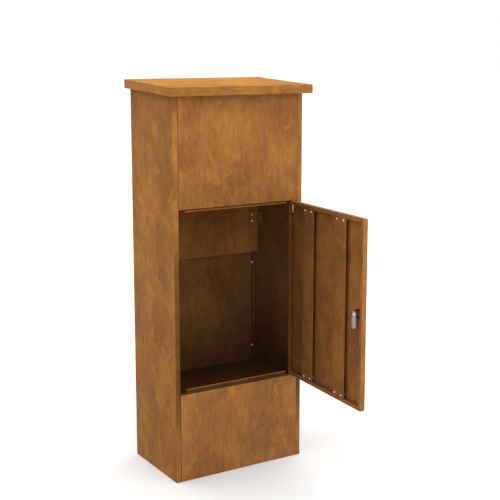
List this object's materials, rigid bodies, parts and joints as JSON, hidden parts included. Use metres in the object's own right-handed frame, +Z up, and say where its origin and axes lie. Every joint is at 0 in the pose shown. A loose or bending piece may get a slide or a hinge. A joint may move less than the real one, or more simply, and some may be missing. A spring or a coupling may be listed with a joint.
{
  "type": "parcel mailbox",
  "caption": "Tall free-standing mailbox of rusted steel sheet with a sloped lid, a door that swings open on pins, a cam lock and a letter flap in the back.",
  "frame": {"origin": "middle of the underside of the base plate", "axes": "+Z up, the door faces -Y, +X to the right of someone who looks at the door, letters go in from +Y"},
  "size_m": [0.403, 0.5683, 0.9999],
  "materials": {
    "rusted_steel": "matte orange-brown rust with soft cloudy patches",
    "rusted_steel_inside": "matte dark brown rust",
    "bright_steel": "satin zinc-plated",
    "dark_steel": "dull dark steel",
    "nylon": "matte"
  },
  "bodies": {
    "cabinet": {"back_panel": "rusted_steel", "back_panel_screw_left_1": "bright_steel", "back_panel_screw_left_2": "bright_steel", "back_panel_screw_left_3": "bright_steel", "back_panel_screw_right_1": "bright_steel", "back_panel_screw_right_2": "bright_steel", "back_panel_screw_right_3": "bright_steel", "baffle_bracket_left": "rusted_steel_inside", "baffle_bracket_right": "rusted_steel_inside", "baffle_nut_left": "bright_steel", "baffle_nut_right": "bright_steel", "baffle_screw_left_lower": "bright_steel", "baffle_screw_left_upper": "bright_steel", "baffle_screw_right_lower": "bright_steel", "baffle_screw_right_upper": "bright_steel", "base_plate": "rusted_steel_inside", "compartment_floor": "rusted_steel_inside", "flap_ear_left": "rusted_steel", "flap_ear_right": "rusted_steel", "flap_pin": "bright_steel", "hinge_pin_bottom": "bright_steel", "left_side_panel": "rusted_steel", "letter_baffle": "rusted_steel_inside", "lid": "rusted_steel", "lid_nut_left_back": "bright_steel", "lid_nut_left_front": "bright_steel", "lid_nut_right_back": "bright_steel", "lid_nut_right_front": "bright_steel", "lower_front_panel": "rusted_steel", "lower_panel_screw_left_1": "bright_steel", "lower_panel_screw_left_2": "bright_steel", "lower_panel_screw_right_1": "bright_steel", "lower_panel_screw_right_2": "bright_steel", "right_side_panel": "rusted_steel", "upper_front_panel": "rusted_steel", "upper_panel_screw_left_1": "bright_steel", "upper_panel_screw_left_2": "bright_steel", "upper_panel_screw_right_1": "bright_steel", "upper_panel_screw_right_2": "bright_steel"},
    "door": {"door_panel": "rusted_steel", "door_screw_hinge_side_bottom_1": "bright_steel", "door_screw_hinge_side_bottom_2": "bright_steel", "door_screw_hinge_side_top_1": "bright_steel", "door_screw_hinge_side_top_2": "bright_steel", "door_screw_lock_side_bottom_1": "bright_steel", "door_screw_lock_side_bottom_2": "bright_steel", "door_screw_lock_side_top_1": "bright_steel", "door_screw_lock_side_top_2": "bright_steel", "door_stiffener_hinge_side": "rusted_steel_inside", "door_stiffener_lock_side": "rusted_steel_inside", "hinge_bracket": "rusted_steel_inside", "hinge_pin_top": "bright_steel", "hinge_washer": "nylon", "lock_body": "bright_steel", "lock_nut": "dark_steel"},
    "lock_core": {"lock_plug": "bright_steel", "lock_cam": "bright_steel", "cam_screw": "bright_steel"},
    "flap": {"letter_flap": "rusted_steel"}
  },
  "joints": [
    {"name": "door_hinge", "type": "hinge", "parent": "cabinet", "child": "door", "pos_m": [0.1627, -0.111, 0.459], "axis": [0, 0, 1], "range_deg": [-86.5, 28.5]},
    {"name": "lock_turn", "type": "hinge", "parent": "door", "child": "lock_core", "pos_m": [0.14917, -0.41414, 0.459], "axis": [-0.9981, 0.061, 0], "range_deg": [0, 90]},
    {"name": "flap_hinge", "type": "hinge", "parent": "cabinet", "child": "flap", "pos_m": [0, 0.1188, 0.877], "axis": [1, 0, 0], "range_deg": [0, 80]}
  ]
}
